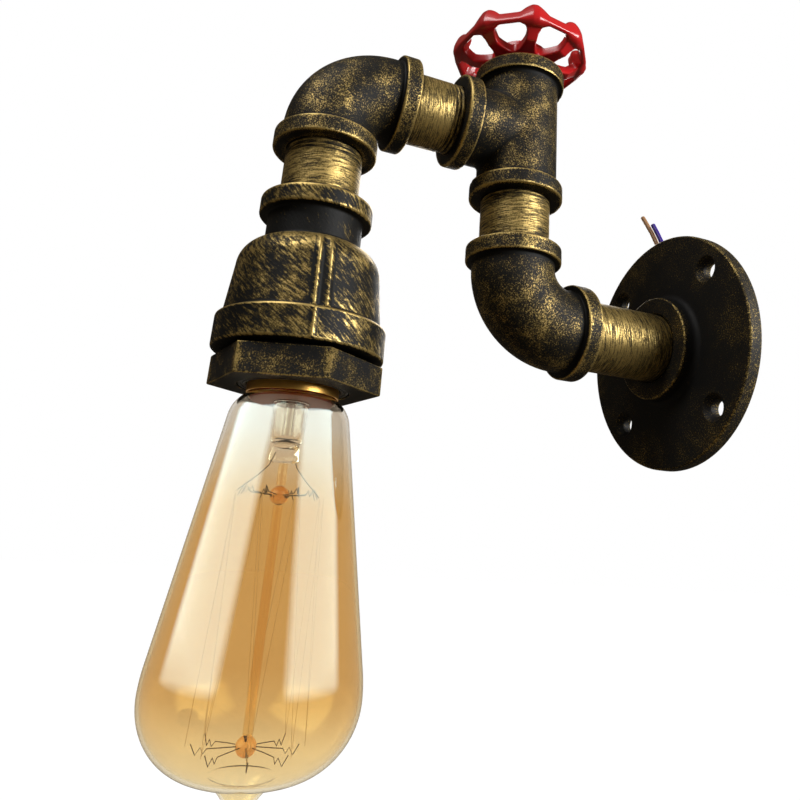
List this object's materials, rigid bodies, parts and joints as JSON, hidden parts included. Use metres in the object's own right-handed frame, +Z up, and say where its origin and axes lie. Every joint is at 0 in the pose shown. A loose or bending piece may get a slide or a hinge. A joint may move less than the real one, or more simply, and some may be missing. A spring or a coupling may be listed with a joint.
{
  "type": "pipe wall light",
  "caption": "Wall light of threaded iron pipe: a round wall flange, elbows, nipples and a tee carry a bell-shaped lampholder with a filament bulb, and a red handwheel turns the switch.",
  "frame": {"origin": "centre of the wall flange's back face, on the axis of its screw circle", "axes": "+Y into the wall along the flange's axis, the lamp stands out along -Y; +Z up; +X to the right of a viewer who faces the wall"},
  "size_m": [0.094, 0.1894, 0.2754],
  "materials": {
    "rubbed_bronze": "black casting rubbed with antique gold, satin",
    "brushed_bronze": "black pipe brushed with antique gold round its axis, satin",
    "dark_iron": "near-black casting with sparse gold specks, satin",
    "red_enamel": "gloss red enamel",
    "brass": "bright brass",
    "steel": "plain zinc-plated steel",
    "black_phenolic": "black moulded phenolic",
    "amber_glass": "clear glass with an amber coating",
    "clear_glass": "clear glass",
    "filament": "dark carbon filament, unlit",
    "brown_sleeve": "brown insulation",
    "blue_sleeve": "blue insulation"
  },
  "bodies": {
    "base": {"wall_flange": "dark_iron", "wall_nipple": "brushed_bronze", "lower_elbow": "rubbed_bronze", "riser_nipple": "brushed_bronze", "live_lead": "brown_sleeve", "neutral_lead": "blue_sleeve", "live_feed": "brown_sleeve", "neutral_feed": "blue_sleeve"},
    "arm": {"tee": "rubbed_bronze", "arm_nipple": "brushed_bronze", "tee_plug": "dark_iron", "switch_body": "black_phenolic", "switch_washer": "steel", "switch_locknut": "steel", "live_riser_wire": "brown_sleeve", "neutral_arm_wire": "blue_sleeve", "switched_arm_wire": "brown_sleeve"},
    "head": {"upper_elbow": "rubbed_bronze", "drop_nipple": "brushed_bronze", "bell_reducer": "rubbed_bronze", "hex_bush": "dark_iron", "lampholder_body": "black_phenolic", "lampholder_ring": "steel", "screw_shell": "brass", "centre_contact": "brass", "terminals": "brass", "terminal_screws": "steel", "neutral_drop_wire": "blue_sleeve", "switched_drop_wire": "brown_sleeve"},
    "wheel": {"handwheel": "red_enamel", "switch_spindle": "steel", "wheel_screw": "steel"},
    "bulb": {"bulb_glass": "amber_glass", "glass_mount": "clear_glass", "support_wires": "steel", "lead_in_wires": "steel", "filament": "filament", "cap_shell": "brass", "cap_insulator": "black_phenolic", "cap_contact": "steel"}
  },
  "joints": [
    {"name": "arm_swing", "type": "hinge", "parent": "base", "child": "arm", "pos_m": [0, -0.074, 0.0595], "axis": [0, 0, 1], "range_deg": [-80, 80]},
    {"name": "head_tilt", "type": "hinge", "parent": "arm", "child": "head", "pos_m": [0, -0.1325, 0.077], "axis": [0, 1, 0], "range_deg": [-45, 45]},
    {"name": "wheel_turn", "type": "hinge", "parent": "arm", "child": "wheel", "pos_m": [0, -0.074, 0.11], "axis": [0, 0, 1], "continuous": true},
    {"name": "bulb_turn", "type": "hinge", "parent": "head", "child": "bulb", "pos_m": [0, -0.15, -0.025], "axis": [0, 0, -1], "range_deg": [0, 1080]}
  ]
}
